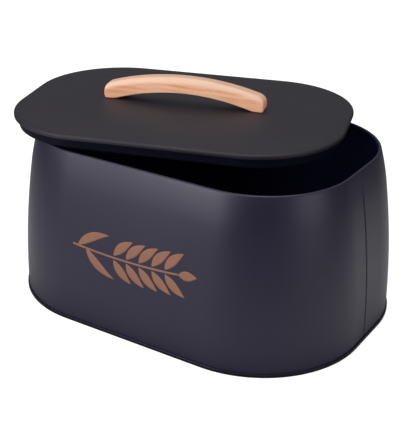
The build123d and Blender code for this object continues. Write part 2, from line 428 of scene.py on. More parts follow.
# Layers of the seam round the foot, one pitch apart. The wall's outside stands three pitches inside
# the bead's. Both hooks turn by a radius of one pitch, the wall's so that it clears the standing
# ring, and the base's, which covers it, so that its top is at the seam's height.
sheet = binShape["sheet"]
seamPitch = sheet + binShape["seamGap"]
wallFoot = binShape["cornerRadius"] - 3 * seamPitch
wallTurnHeight = 2 * seamPitch + sheet / 2
coverTurnHeight = binShape["seamHeight"] - seamPitch - sheet / 2

# The wall's arcs: the bow turns by its height over its radius as a sine, and the shoulder goes on
# from there to where the rim's roll starts, so that the roll's crest is at the rim's height.
bowTop = rimHeight - binShape["shoulderHeight"]
bowSine = (bowTop - binShape["seamHeight"]) / binShape["bowRadius"]
rollShare = binShape["rollRadius"] / binShape["shoulderRadius"]
rollLift = binShape["rollRadius"] * (1 - bowSine)
rollStart = (rimHeight - rollLift - rollShare * bowTop) / (1 - rollShare)
rollSine = bowSine + (rollStart - bowTop) / binShape["shoulderRadius"]
bowTurn, rollLean = math.degrees(math.asin(bowSine)), math.degrees(math.asin(rollSine))


# Distance of the wall's outside from the corner centres at a height: the bow's arc stands upright
# at the seam, and the shoulder's tighter arc goes on from its top.
def wallDistance(height):
    bow, shoulder = binShape["bowRadius"], binShape["shoulderRadius"]
    bowRise = np.clip(height - binShape["seamHeight"], 0, None)
    bowDistance = wallFoot - bow + np.sqrt(bow**2 - bowRise**2)
    bowEnd = wallFoot - bow + math.sqrt(bow**2 - (bowTop - binShape["seamHeight"])**2)
    shoulderCentre = bowEnd - shoulder * math.cos(math.radians(bowTurn))
    shoulderRise = shoulder * bowSine + height - bowTop
    shoulderDistance = shoulderCentre + np.sqrt(np.clip(shoulder**2 - shoulderRise**2, 0, None))
    return np.where(height < bowTop, bowDistance, shoulderDistance)


# Upright lock seam, at one place on the +X end: outside a narrow slot with a low lip to one side,
# and inside the folded layers. The slot is shallower above and below the layers, and its bottom
# carries painted shade, a darker coat, up to a height.
lockSeam = {
    "offset": -6 * mm,
    "slotWidth": 1.2 * mm,
    "slotDepth": 0.5 * mm,
    "edgeSlotDepth": 0.26 * mm,
    "lipCrest": 1.1 * mm,
    "lipHeight": 0.15 * mm,
    "layersWidth": 5 * mm,
    "layersDepth": 0.875 * mm,
    "layersFlank": 0.5 * mm,
    "layersLow": 5 * mm,
    "layersHigh": 147.5 * mm,
    "margin": 1 * mm,
    "shadeHigh": 134 * mm,
}


# How far each point of the wall's outline moves inward at each station, by the station's distance
# from the seam. Outside it is the slot's depth, falling off evenly over a flank on one side and up
# to the lip's crest on the other, less the lip's height, which falls off evenly to both sides of
# its crest. Inside it is the layers' depth, falling off smoothly over a flank.
def seamSink(fromSeam, outline, isOutside):
    half, flank = lockSeam["layersWidth"] / 2, lockSeam["layersFlank"]
    slot, crest = lockSeam["slotWidth"] / 2, lockSeam["lipCrest"]
    slotShare = np.interp(fromSeam, [-slot - flank, -slot, slot, crest], [0, 1, 1, 0])[:, None]
    lipShare = np.interp(fromSeam, [slot, crest, half], [0, 1, 0])[:, None]
    layersShare = (1 - smoothStep(np.abs(fromSeam), half, half + flank))[:, None]

    height = outline[:, 1]
    onWall = (outline[:, 0] < wallFoot + sheet / 2) & (height > binShape["seamHeight"])
    low, high = lockSeam["layersLow"], lockSeam["layersHigh"]
    layered = smoothStep(height, low, low + flank) * (1 - smoothStep(height, high - flank, high))
    edgeDepth = lockSeam["edgeSlotDepth"]
    slotDepth = edgeDepth + (lockSeam["slotDepth"] - edgeDepth) * layered
    sunkOutside = slotShare * slotDepth - lipShare * layered * lockSeam["lipHeight"]
    sunkInside = layersShare * layered * lockSeam["layersDepth"]
    return np.where(isOutside, sunkOutside, sunkInside) * onWall


# Wall: hook, bow, shoulder and rolled rim as one folded sheet, carried round the stations. At the
# lock seam its faces move inward, square to the sheet.
def makeWall():
    moves = [
        (coverTurnHeight - wallTurnHeight,),
        (seamPitch, -180),
        (binShape["seamHeight"] - wallTurnHeight,),
        (binShape["bowRadius"] - sheet / 2, bowTurn),
        (binShape["shoulderRadius"] - sheet / 2, rollLean - bowTurn),
        (binShape["rollRadius"] - sheet / 2, binShape["rollTurn"]),
    ]
    start = (binShape["cornerRadius"] - seamPitch - sheet / 2, coverTurnHeight)
    inside, outside = foldedSheet(start, -90, sheet, moves, binShape["bendStep"])
    outline = np.vstack([outside, inside[::-1]])
    isOutside = np.arange(len(outline)) < len(outside)

    half, flank = lockSeam["layersWidth"] / 2, lockSeam["layersFlank"]
    slot, crest, margin = lockSeam["slotWidth"] / 2, lockSeam["lipCrest"], lockSeam["margin"]
    steps = np.array([-half - flank - margin, -half - flank, -half, -slot - flank, -slot, 0,
                      slot, crest, half, half + flank, half + flank + margin])
    stations = roundStations(binShape["cornerSteps"], lockSeam["offset"] + steps)
    points = carryRound(outline, stations)
    fromSeam = np.full(len(points), np.inf)
    fromSeam[-len(steps):] = steps
    sunk = seamSink(fromSeam, outline, isOutside)
    inward = (inside - outside) / np.linalg.norm(inside - outside, axis=1)[:, None]
    points[..., [0, 2]] += sunk[..., None] * np.vstack([inward, inward[::-1]])

    piece = gridPiece("wallShell", points, True, True, outsideCoat, "bin")
    paintWall(piece)
    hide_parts("body_wall")


# Centres and normals of a piece's faces, and each centre's offset in plan from the nearest point of
# the inner rectangle.
def faceFacts(piece):
    polygons = piece.data.polygons
    centres, normals = np.empty(len(polygons) * 3), np.empty(len(polygons) * 3)
    polygons.foreach_get("center", centres)
    polygons.foreach_get("normal", normals)
    centres, normals = centres.reshape(-1, 3), normals.reshape(-1, 3)
    nearest = np.clip(centres[:, :2], [-halfLength, -halfDepth], [halfLength, halfDepth])
    return centres, normals, centres[:, :2] - nearest


# Gives the faces under each mask one more material.
def paintFaces(piece, *paints):
    numbers = np.zeros(len(piece.data.polygons), np.int32)
    for number, (mask, material) in enumerate(paints, 1):
        piece.data.materials.append(material)
        numbers[mask] = number
    piece.data.polygons.foreach_set("material_index", numbers)


# Gives the wall's faces that look inward below the rim's roll the inside coat, whose paler and
# bluer colour is painted light, and the bottom of the lock seam's slot the darker coat, which is
# painted shade in the fold.
def paintWall(piece):
    centres, normals, out = faceFacts(piece)
    height = centres[:, 2]
    # Faces that look inward get the inside coat, whose paler colour is painted light.
    inside = np.sum(out * normals[:, :2], axis=1) < 0
    inside = inside & (height < rimHeight - binShape["insidePaintedLightDrop"])
    # Painted shade in the fold: the bottom of the lock seam's slot gets the darker coat.
    slotPaintedShade = np.abs(centres[:, 1] - lockSeam["offset"]) < lockSeam["slotWidth"] / 2
    slotPaintedShade = slotPaintedShade & (centres[:, 0] > halfLength) & ~inside
    slotPaintedShade = slotPaintedShade & (height > binShape["seamHeight"]) & (height < lockSeam["shadeHigh"])
    paintFaces(piece, (inside, insidePaintedLightCoat), (slotPaintedShade, paintedShadeCoat))


# Base: a face gets the inside coat where the upward part of its normal is more than insideFacing.
baseShape = {
    "flatBend": 0.3 * mm,
    "panelHeight": 4.2 * mm,
    "panelBend": 0.8 * mm,
    "stepInset": 16 * mm,
    "stepDrop": 1.2 * mm,
    "stepSlope": 45,
    "stepBend": 1.5 * mm,
    "insideFacing": 0.1,
}


# Gives the base's faces that look up inside the bin the inside coat, whose paler and bluer colour
# is painted light, and the bead outside the wall the foot's darker coat, which is painted shade
# where the bead meets the floor.
def paintBase(piece):
    centres, normals, out = faceFacts(piece)
    reach = np.linalg.norm(out, axis=1)
    # Faces that look up inside the bin get the inside coat, whose paler colour is painted light.
    inside = (normals[:, 2] > baseShape["insideFacing"]) & (reach < wallFoot - sheet)
    # The bead outside the wall gets the darker coat as painted shade.
    paintFaces(piece, (inside, insidePaintedLightCoat), (reach > wallFoot + sheet, footPaintedShadeCoat))


# Base: cover hook, seam, standing ring and stepped panel as one folded sheet. Both its faces go on
# to the inner rectangle, where the corners shrink to points and one quad closes each side.
def makeBase():
    innerWall = wallFoot - seamPitch - sheet / 2
    ringWidth = binShape["cornerRadius"] - sheet / 2 - innerWall
    ringBend = baseShape["flatBend"] + sheet / 2
    panelBend = baseShape["panelBend"] + sheet / 2
    stepBend = baseShape["stepBend"] + sheet / 2
    slope = math.radians(baseShape["stepSlope"])
    stepStraight = baseShape["stepDrop"] - 2 * stepBend * (1 - math.cos(slope))
    moves = [
        (coverTurnHeight - wallTurnHeight,),
        (seamPitch, -180),
        (coverTurnHeight - sheet / 2 - ringBend,),
        (ringBend, -90),
        (ringWidth - 2 * ringBend,),
        (ringBend, -90),
        (baseShape["panelHeight"] - sheet - ringBend - panelBend,),
        (panelBend, 90),
        (baseShape["stepInset"],),
        (stepBend, baseShape["stepSlope"]),
        (stepStraight / math.sin(slope),),
        (stepBend, -baseShape["stepSlope"]),
    ]
    start = (binShape["cornerRadius"] - 2 * seamPitch - sheet / 2, wallTurnHeight)
    leftFace, rightFace = foldedSheet(start, 90, sheet, moves, binShape["bendStep"])
    leftEnd, rightEnd = [0, leftFace[-1, 1]], [0, rightFace[-1, 1]]
    outline = np.vstack([leftEnd, leftFace[::-1], rightFace, rightEnd])
    points = carryRound(outline, roundStations(binShape["cornerSteps"]))
    piece = gridPiece("basePan", points, True, False, outsideCoat, "bin")
    paintBase(piece)
    weighNormals(piece)
    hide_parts("base_pan")


makeWall()
makeBase()
print("bin made")


# Lid: it lies turned and shifted, so its place is read from the two screws of the handle

leftLow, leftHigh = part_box("handle_screw_left")
rightLow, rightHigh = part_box("handle_screw_right")
leftScrew, rightScrew = (leftLow + leftHigh) / 2, (rightLow + rightHigh) / 2
lidCentre = (leftScrew + rightScrew) / 2
lidTurn = math.atan2(rightScrew.y - leftScrew.y, rightScrew.x - leftScrew.x)
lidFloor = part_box("lid_skirt_ring")[0].z
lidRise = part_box("lid_top")[1].z - lidFloor
lidShift = Matrix.Translation((lidCentre.x, lidCentre.y, lidFloor))
lidPlace = lidShift @ Matrix.Rotation(lidTurn, 4, "Z")

lidShape = {
    "sheet": 0.4 * mm,
    "overhang": 1.82 * mm,
    "edgeHeight": 3.9 * mm,
    "edgeBend": 2.2 * mm,
    "creaseBend": 0.9 * mm,
    "beadRun": 1.4 * mm,
    "beadLean": 12,
    "lipBend": 0.4 * mm,
    "lipWidth": 2.9 * mm,
    "crownInset": 45 * mm,
    "crownRise": 3.3 * mm,
    "jointGap": 0.03 * mm,
    "skirtClearance": 1 * mm,
    "skirtBend": 1 * mm,
    "skirtHemGap": 0.2 * mm,
    "skirtHemHeight": 1.2 * mm,
    "cornerSteps": 32,
    "bendStep": 11,
}

# Distances from the corner centres: the rim's crest over the middle of its roll, the mouth inside
# the roll, and the lid's edge. The skirt drops this far below the lid's edge.
rollInset = binShape["rollRadius"] * math.cos(math.radians(rollLean))
rimCrest = float(wallDistance(rollStart)) - rollInset
mouth = rimCrest - binShape["rollRadius"]
lidEdge = rimCrest + lidShape["overhang"]
skirtDrop = lidRise - lidShape["edgeHeight"] - lidShape["crownRise"]


# Lid sheet: flat in the middle, falling in the crown's arc to a crease, from which a bead leans up
# to the edge, which turns down and in again as a lip. Both faces start at the inner rectangle,
# which one quad closes.
def makeLid():
    thick = lidShape["sheet"]
    edgeBend = lidShape["edgeBend"] - thick / 2
    creaseBend = lidShape["creaseBend"] + thick / 2
    lipBend = lidShape["lipBend"] + thick / 2
    leanCosine = math.cos(math.radians(lidShape["beadLean"]))
    leanSine = math.sin(math.radians(lidShape["beadLean"]))
    beadWidth = (thick / 2 + edgeBend * (1 + leanSine) + lidShape["beadRun"] * leanCosine
                 + creaseBend * leanSine)
    crownRun = lidShape["crownInset"] - beadWidth
    crownRadius = arcRadius(crownRun, lidShape["crownRise"])
    crownSine = crownRun / crownRadius
    crownTurn = math.degrees(math.asin(crownSine))
    crownCosine = math.cos(math.radians(crownTurn))
    flatRun = lidEdge - beadWidth - (creaseBend + crownRadius - thick / 2) * crownSine
    edgeDrop = (lidShape["edgeHeight"] + (creaseBend - thick / 2) * crownCosine
                + lidShape["beadRun"] * leanSine - (creaseBend + edgeBend) * leanCosine
                - lipBend - thick / 2)
    moves = [
        (flatRun,),
        (crownRadius - thick / 2, -crownTurn),
        (creaseBend, crownTurn + lidShape["beadLean"]),
        (lidShape["beadRun"],),
        (edgeBend, -lidShape["beadLean"] - 90),
        (edgeDrop,),
        (lipBend, -90),
        (lidShape["lipWidth"] - lipBend - thick / 2,),
    ]
    start = (0, lidRise - thick / 2)
    topFace, underFace = foldedSheet(start, 0, thick, moves, lidShape["bendStep"])
    outline = np.vstack([topFace, underFace[::-1]])
    points = carryRound(outline, roundStations(lidShape["cornerSteps"]))
    piece = gridPiece("lidSheet", points, True, False, lidCoat, "lid", lidPlace)
    weighNormals(piece)
    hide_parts("lid_top")


# Skirt ring: a flange on the lid's lip, and a skirt with its hem folded up inside.
def makeSkirt():
    skirtMiddle = mouth - lidShape["skirtClearance"] - sheet / 2
    flangeEdge = lidEdge - lidShape["sheet"] - lidShape["lipBend"]
    flangeHeight = skirtDrop + lidShape["sheet"] + lidShape["jointGap"] + sheet / 2
    bend = lidShape["skirtBend"] + sheet / 2
    hemTurn = (lidShape["skirtHemGap"] + sheet) / 2
    moves = [
        (flangeEdge - skirtMiddle - bend,),
        (bend, 90),
        (flangeHeight - bend - hemTurn - sheet / 2,),
        (hemTurn, -180),
        (lidShape["skirtHemHeight"],),
    ]
    start = (flangeEdge, flangeHeight)
    leftFace, rightFace = foldedSheet(start, 180, sheet, moves, lidShape["bendStep"])
    outline = np.vstack([leftFace, rightFace[::-1]])
    points = carryRound(outline, roundStations(lidShape["cornerSteps"]))
    # The skirt wears the darker coat, which is painted shade under the lid's overhang.
    piece = gridPiece("skirtRing", points, True, True, paintedShadeCoat, "lid", lidPlace)
    weighNormals(piece)
    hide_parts("lid_skirt_ring")


makeLid()
makeSkirt()
print("lid made")


# Handle

handleShape = {
    "length": 146.2 * mm,
    "width": 15.4 * mm,
    "endHeight": 12.7 * mm,
    "endBulge": 0.9 * mm,
    "endRound": 6.5 * mm,
    "footLength": 9.5 * mm,
    "archRise": 10.4 * mm,
    "archEase": 0.6 * mm,
    "sideRound": 1.5 * mm,
    "bevel": 2.9 * mm,
    "middleBevelDrop": 4.8 * mm,
    "bottomRound": 1.2 * mm,
    "bevelRound": 2.8 * mm,
    "shoulderRound": 6.8 * mm,
    "roundSteps": 6,
    "bodySteps": 60,
    "endSteps": 13,
    "capSteps": 5,
}
handleLow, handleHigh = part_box("handle")
handlePlace = lidPlace @ Matrix.Translation((0, 0, handleLow.z - lidFloor))
handleHeight = handleHigh.z - handleLow.z
handleHalf = handleShape["length"] / 2
archHalf = handleHalf - handleShape["footLength"]


# Places along the handle from end to end, with its top, its bottom and its half width at each. The
# top follows an arc that a small round carries down to the end. The bottom eases from the arch
# into the flat foot: it is half the sum of the arch's height and the root of that height's square
# plus the ease's square. The sides and the bottom draw in at the ends by a quarter round.
def handleProfile():
    topRadius = arcRadius(handleHalf, handleHeight - handleShape["endHeight"])
    topCentre = handleHeight - topRadius
    endRound = handleShape["endRound"]
    roundX = handleHalf - endRound
    roundZ = topCentre + math.sqrt((topRadius - endRound)**2 - roundX**2)
    meetAngle = math.atan2(roundX, roundZ - topCentre)
    meetX = roundX + endRound * math.sin(meetAngle)

    body = np.linspace(0, meetX, handleShape["bodySteps"])
    endAngles = np.linspace(meetAngle, math.pi / 2, handleShape["endSteps"] + 1)[1:]
    x = np.concatenate([body, roundX + endRound * np.sin(endAngles)])
    arcTop = topCentre + np.sqrt(topRadius**2 - x**2)
    roundTop = roundZ + np.sqrt(np.clip(endRound**2 - (x - roundX)**2, 0, None))
    top = np.where(x <= meetX, arcTop, roundTop)

    archRadius = arcRadius(archHalf, handleShape["archRise"])
    arch = handleShape["archRise"] - archRadius + np.sqrt(archRadius**2 - x**2)
    bottom = (arch + np.sqrt(arch**2 + handleShape["archEase"]**2)) / 2

    side = handleShape["sideRound"]
    drawIn = side - np.sqrt(side**2 - np.clip(x - (handleHalf - side), 0, side)**2)
    bottom = bottom + drawIn * handleShape["bottomRound"] / side
    halfWidth = handleShape["width"] / 2 - drawIn
    profile = [np.concatenate([values[:0:-1], values]) for values in (top, bottom, halfWidth)]
    return np.concatenate([-x[:0:-1], x]), *profile


# Sections across the handle, each a rectangle with two bevelled top corners and all six corners
# rounded: a corner's round has its centre at the radius over the cosine of half the turn, back
# from the corner. The bevel reaches further down the sides towards the middle of the arch.
def handleSections(x, top, bottom, halfWidth):
    bevel = handleShape["bevel"]
    nearMiddle = 1 - smoothStep(np.abs(x), 0, archHalf)
    bevelDrop = bevel + (handleShape["middleBevelDrop"] - bevel) * nearMiddle
    lean = np.arctan2(bevel, bevelDrop)
    level, square = np.zeros(len(x)), np.full(len(x), math.pi / 2)
    corners = [
        (halfWidth, bottom, -square, level, handleShape["bottomRound"]),
        (halfWidth, top - bevelDrop, level, lean, handleShape["shoulderRound"]),
        (halfWidth - bevel, top, lean, square, handleShape["bevelRound"]),
    ]
    corners += [(-cornerY, cornerZ, 2 * square - endTurn, 2 * square - startTurn, radius)
                for cornerY, cornerZ, startTurn, endTurn, radius in corners[::-1]]
    sections = []
    share = np.linspace(0, 1, handleShape["roundSteps"] + 1)
    for cornerY, cornerZ, startTurn, endTurn, radius in corners:
        reach = radius / np.cos((endTurn - startTurn) / 2)
        centreY = cornerY - reach * np.cos((startTurn + endTurn) / 2)
        centreZ = cornerZ - reach * np.sin((startTurn + endTurn) / 2)
        turn = startTurn[:, None] + (endTurn - startTurn)[:, None] * share
        sections.append(np.stack(np.broadcast_arrays(
            x[:, None],
            centreY[:, None] + radius * np.cos(turn),
            centreZ[:, None] + radius * np.sin(turn)), axis=-1))
    return np.concatenate(sections, axis=1)


# Handle: the sections, with each end closed by sections that shrink to its middle. The ends bulge
# as a parabola of the height, which is greatest halfway up the end.
def makeHandle():
    points = handleSections(*handleProfile())
    shrink = np.linspace(0, 1, handleShape["capSteps"], endpoint=False)[:, None, None]
    caps = [end.mean(axis=0) + (end - end.mean(axis=0)) * shrink for end in points[[0, -1]]]
    points = np.concatenate([caps[0], points, caps[1][::-1]])
    lift = points[..., 2] / handleShape["endHeight"]
    nearEnd = smoothStep(np.abs(points[..., 0]), handleHalf - handleShape["endRound"], handleHalf)
    bulge = nearEnd * handleShape["endBulge"] * 4 * lift * (1 - lift)
    points[..., 0] += np.sign(points[..., 0]) * bulge
    piece = gridPiece("beechHandle", points, False, True, beech, "lid", handlePlace)
    weighNormals(piece)
    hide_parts("handle")


# Beech: noises have a scale per metre along the grain, across it and up, and ranges are where a
# noise or a facing starts to count and where it counts in full.
beechFinish = {
    "pale": (0.80, 0.465, 0.285),
    "middle": (0.74, 0.385, 0.22),
    "dark": (0.63, 0.265, 0.145),
    "tonePlaces": (0.3, 0.55, 0.85),
    "toneRange": (0.45, 1.5),
    "warpsPerMetre": 9.0,
    "warpDetail": 2.0,
    "warpSize": (0, 12 * mm, 12 * mm),
    "ringTone": 0.24,
    "ringSpacing": 4.2 * mm,
    "ringCentre": (0, 31 * mm, -58 * mm),
    "ringStretch": (0.06, 1, 1),
    "streakTone": 1.25,
    "streaks": {"perMetre": (22, 260, 260), "detail": 2.0, "roughness": 0.5},
    "fibreTone": 0.45,
    "fibres": {"perMetre": (1 / (30 * mm), 1 / (0.45 * mm), 1 / (0.45 * mm)),
               "detail": 3.0, "roughness": 0.6},
    "fleck": (0.40, 0.17, 0.09),
    "flecks": {"perMetre": (300, 1900, 1900), "detail": 1.0, "roughness": 0.5},
    "fleckRange": (0.66, 0.76),
    "fleckShare": 0.5,
    # Painted highlight: a paler colour for faces that look up, strongest on the bevel, in place of
    # the light from above.
    "paintedTopLight": (0.75, 0.515, 0.37),
    "paintedTopLightFacing": [(0.05, 0), (0.52, 0.88), (0.74, 0.88), (0.92, 0.7), (1, 0.6)],
    "endGrain": (0.78, 0.29, 0.125),
    "endRange": (0.55, 0.98),
    "endShare": 0.7,
    "specular": 0.35,
    "roughness": (0.37, 0.49),
    "bumpStrength": 0.25,
    "bumpDistance": 0.08 * mm,
}


# Noise over a position that is first scaled along each direction.
def grainNoise(tree, position, look):
    made = addNode(tree, "ShaderNodeTexNoise", {
        "Vector": vectorOf(tree, "MULTIPLY", position, look["perMetre"]),
        "Scale": 1.0,
        "Detail": look["detail"],
        "Roughness": look["roughness"],
    })
    return made.outputs["Fac"]


# Beech in the handle's own directions. Its tone is the sum of three shares: yearly rings, which
# are the fraction of the distance from a line far below it over the ring spacing, streaks, and
# long fine fibres, all warped a little. Short dark flecks lie over it, a paler colour is painted
# where it faces upward, most on the bevel, as a painted highlight of the light from above, and it
# shows darker end grain where it faces along the handle.
def makeBeech():
    material, tree, shader = newMaterial("beech", {"Specular IOR Level": beechFinish["specular"]})
    place = addNode(tree, "ShaderNodeTexCoord").outputs
    position = addNode(tree, "ShaderNodeMapping", {
        "Vector": place["Object"],
        "Location": handlePlace.translation,
        "Rotation": (0, 0, lidTurn),
    }, vector_type="TEXTURE").outputs["Vector"]
    normal = addNode(tree, "ShaderNodeMapping", {
        "Vector": place["Normal"],
        "Rotation": (0, 0, lidTurn),
    }, vector_type="TEXTURE").outputs["Vector"]
    warp = addNode(tree, "ShaderNodeTexNoise", {
        "Vector": position,
        "Scale": beechFinish["warpsPerMetre"],
        "Detail": beechFinish["warpDetail"],
    })
    evenWarp = vectorOf(tree, "SUBTRACT", warp.outputs["Color"], (0.5, 0.5, 0.5))
    shift = vectorOf(tree, "MULTIPLY", evenWarp, beechFinish["warpSize"])
    warped = vectorOf(tree, "ADD", position, shift)

    fromCentre = vectorOf(tree, "SUBTRACT", warped, beechFinish["ringCentre"])
    stretched = vectorOf(tree, "MULTIPLY", fromCentre, beechFinish["ringStretch"])
    distance = vectorOf(tree, "LENGTH", stretched)
    rings = numberOf(tree, "FRACT",
                     numberOf(tree, "DIVIDE", distance, beechFinish["ringSpacing"]))
    streaks = grainNoise(tree, warped, beechFinish["streaks"])
    fibres = grainNoise(tree, warped, beechFinish["fibres"])
    ringTone = numberOf(tree, "MULTIPLY", rings, beechFinish["ringTone"])
    streakTone = numberOf(tree, "MULTIPLY", streaks, beechFinish["streakTone"])
    fibreTone = numberOf(tree, "MULTIPLY", fibres, beechFinish["fibreTone"])
    tone = numberOf(tree, "ADD", numberOf(tree, "ADD", ringTone, streakTone), fibreTone)
    woods = [beechFinish[shade] for shade in ("pale", "middle", "dark")]
    colour = rampOf(tree, rangeOf(tree, tone, *beechFinish["toneRange"]),
                    list(zip(beechFinish["tonePlaces"], woods)))

    flecks = grainNoise(tree, position, beechFinish["flecks"])
    fleckMask = rangeOf(tree, flecks, *beechFinish["fleckRange"], 0.0, beechFinish["fleckShare"])
    colour = mixOf(tree, fleckMask, colour, opaque(beechFinish["fleck"]))
    facing = addNode(tree, "ShaderNodeSeparateXYZ", {"Vector": normal}).outputs
    # Painted highlight on the top and the bevel, by how far the face looks up.
    paintedTopLightMask = rampOf(tree, facing["Z"], beechFinish["paintedTopLightFacing"])
    colour = mixOf(tree, paintedTopLightMask, colour, opaque(beechFinish["paintedTopLight"]))
    endMask = rangeOf(tree, numberOf(tree, "ABSOLUTE", facing["X"]), *beechFinish["endRange"],
                      0.0, beechFinish["endShare"])
    colour = mixOf(tree, endMask, colour, opaque(beechFinish["endGrain"]))

    bump = addNode(tree, "ShaderNodeBump", {
        "Strength": beechFinish["bumpStrength"],
        "Distance": beechFinish["bumpDistance"],
        "Height": fibres,
    })
    setInputs(tree, shader, {
        "Base Color": colour,
        "Roughness": rangeOf(tree, fibres, 0.0, 1.0, *beechFinish["roughness"]),
        "Normal": bump.outputs["Normal"],
    })
    return material


beech = makeBeech()
makeHandle()
for metalPart in ("handle_screw_left", "handle_screw_right",
                  "handle_washer_left", "handle_washer_right"):
    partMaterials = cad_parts[metalPart].data.materials
    partMaterials.clear()
    partMaterials.append(zincPlate)
print("handle made")


# Printed sprig of grain on the front. Shares are along the stem, and angles are in degrees from it.

sprigShape = {
    "stemFrom": (-60.5 * mm, 75 * mm),
    "stemTo": (46 * mm, 76 * mm),
    "stemSag": 2.5 * mm,
    "stemWidth": 1.7 * mm,
    "stemSteps": 60,
    "slopeShare": 0.01,
    "earStart": 0.40,
    "pairs": 5,
    "kernelLength": 25.5 * mm,
    "kernelWidth": 8.2 * mm,
    "kernelAngle": 54,
    "kernelCurl": 26,
    "kernelOut": 1.8 * mm,
    "kernelSwell": 0.85,
    "kernelSteps": 16,
    "tipLength": 18 * mm,
    "leafLength": 37 * mm,
    "leafWidth": 8 * mm,
    "leafAngle": 50,
    "leafCurl": 40,
    "leafSwell": 0.8,
    "leafSteps": 28,
    "leafPlaces": (0.05, 0.13),
    "acrossSteps": 6,
    "lift": 0.05 * mm,
    "sink": 0.03 * mm,
}


# Stem's middle line: straight from end to end, less a sag that is greatest halfway.
def stemPoint(share):
    start, end = np.array(sprigShape["stemFrom"]), np.array(sprigShape["stemTo"])
    line = start + np.multiply.outer(share, end - start)
    line[..., 1] -= sprigShape["stemSag"] * 4 * share * (1 - share)
    return line


# Slope of the stem in degrees, over the small share of it that ends at a place.
def stemSlope(share):
    run, rise = stemPoint(share) - stemPoint(share - sprigShape["slopeShare"])
    return math.degrees(math.atan2(rise, run))


# A flat stroke printed on the front wall: half widths to each side of a middle line, laid on the
# wall's curve, with a front just proud of it and a back just under it.
def printedStroke(middle, halfWidth):
    along = np.gradient(middle, axis=0)
    along /= np.linalg.norm(along, axis=1)[:, None]
    side = np.column_stack([-along[:, 1], along[:, 0]])
    share = np.linspace(-1, 1, sprigShape["acrossSteps"] + 1)
    flat = middle[:, None] + side[:, None] * (halfWidth[:, None] * share)[..., None]
    wallY = -halfDepth - wallDistance(flat[..., 1])
    front = np.stack([flat[..., 0], wallY - sprigShape["lift"], flat[..., 1]], axis=-1)
    back = np.stack([flat[..., 0], wallY + sprigShape["sink"], flat[..., 1]], axis=-1)
    points = np.concatenate([front, back[:, ::-1]], axis=1)
    return points.reshape(-1, 3), gridFaces(*points.shape[:2], False, True)


# A leaf or kernel: a middle line that starts at a point at an angle and curls, with a width that
# swells and narrows as the sine of half a turn times the share raised to a power.
def leafStroke(start, angle, length, width, curl, swell, steps):
    share = np.linspace(0, 1, steps + 1)
    bend = np.radians(angle + curl * share)
    step = np.column_stack([np.cos(bend), np.sin(bend)]) * length / steps
    middle = np.array(start) + np.vstack([[0, 0], np.cumsum(step[:-1], axis=0)])
    halfWidth = width / 2 * np.sin(np.pi * share**swell)
    return printedStroke(middle, np.clip(halfWidth, 0, None))


# One kernel at a place on the stem, to its left for way 1, to its right for way -1, and on its tip
# for way 0, where it is shorter and straight.
def kernelStroke(place, way):
    slope = stemSlope(place)
    out = math.radians(slope + 90)
    aside = way * sprigShape["kernelOut"] * np.array([math.cos(out), math.sin(out)])
    return leafStroke(stemPoint(place) + aside, slope + way * sprigShape["kernelAngle"],
                      sprigShape["kernelLength"] if way else sprigShape["tipLength"],
                      sprigShape["kernelWidth"], -way * sprigShape["kernelCurl"],
                      sprigShape["kernelSwell"], sprigShape["kernelSteps"])


# Sprig: the stem, pairs of kernels leaning out of it, one kernel on its tip and two slim leaves.
def makeSprig():
    stem = stemPoint(np.linspace(0, 1, sprigShape["stemSteps"]))
    strokes = [printedStroke(stem, np.full(len(stem), sprigShape["stemWidth"] / 2))]
    places = np.linspace(sprigShape["earStart"], 1, sprigShape["pairs"] + 1)
    strokes += [kernelStroke(place, way) for place in places[:-1] for way in (1, -1)]
    strokes.append(kernelStroke(places[-1], 0))
    for way, place in zip((1, -1), sprigShape["leafPlaces"]):
        slope = stemSlope(place + sprigShape["slopeShare"])
        strokes.append(leafStroke(stemPoint(place), slope + way * sprigShape["leafAngle"],
                                  sprigShape["leafLength"], sprigShape["leafWidth"],
                                  -way * sprigShape["leafCurl"],
                                  sprigShape["leafSwell"], sprigShape["leafSteps"]))
    counts = np.cumsum([0] + [len(points) for points, _ in strokes])
    vertices = np.vstack([points for points, _ in strokes])
    faces = np.vstack([quads + count for (_, quads), count in zip(strokes, counts)])
    makePiece("grainSprigPrint", vertices, faces, copperPrint, "bin")


makeSprig()
print("print made")


# Floor, world, lamps and camera

# The pool is a painted pool of light with painted shade right beside the bin. Its stops are (share
# of its reach, tone), and the sky's are (sine of the angle above the horizon, tone).
stageLook = {
    "floorSize": 12,
    "floorDrop": 0.2 * mm,
    "floorColour": 0.45,
    "floorGlow": 0.80,
    "fill": 0.69,
    "poolReach": 2.0,
    "pool": [(0, 0.20), (0.004, 0.36), (0.012, 0.55), (0.03, 0.72), (0.05, 0.75), (0.11, 0.62),
             (0.19, 0.36), (0.28, 0.20), (0.5, 0.11), (1, 0.08)],
    "sky": [(0, 0.12), (0.3, 0.14), (0.42, 0.22), (0.5, 0.43), (0.6, 0.55), (0.75, 0.53),
            (0.87, 0.7), (0.945, 0.9), (0.965, 4), (1, 4)],
}


# 1 for a ray that is a reflection or shines through, and 0 for any other.
def mirroredRay(tree, rays):
    return numberOf(tree, "MAXIMUM", rays["Is Glossy Ray"], rays["Is Transmission Ray"])
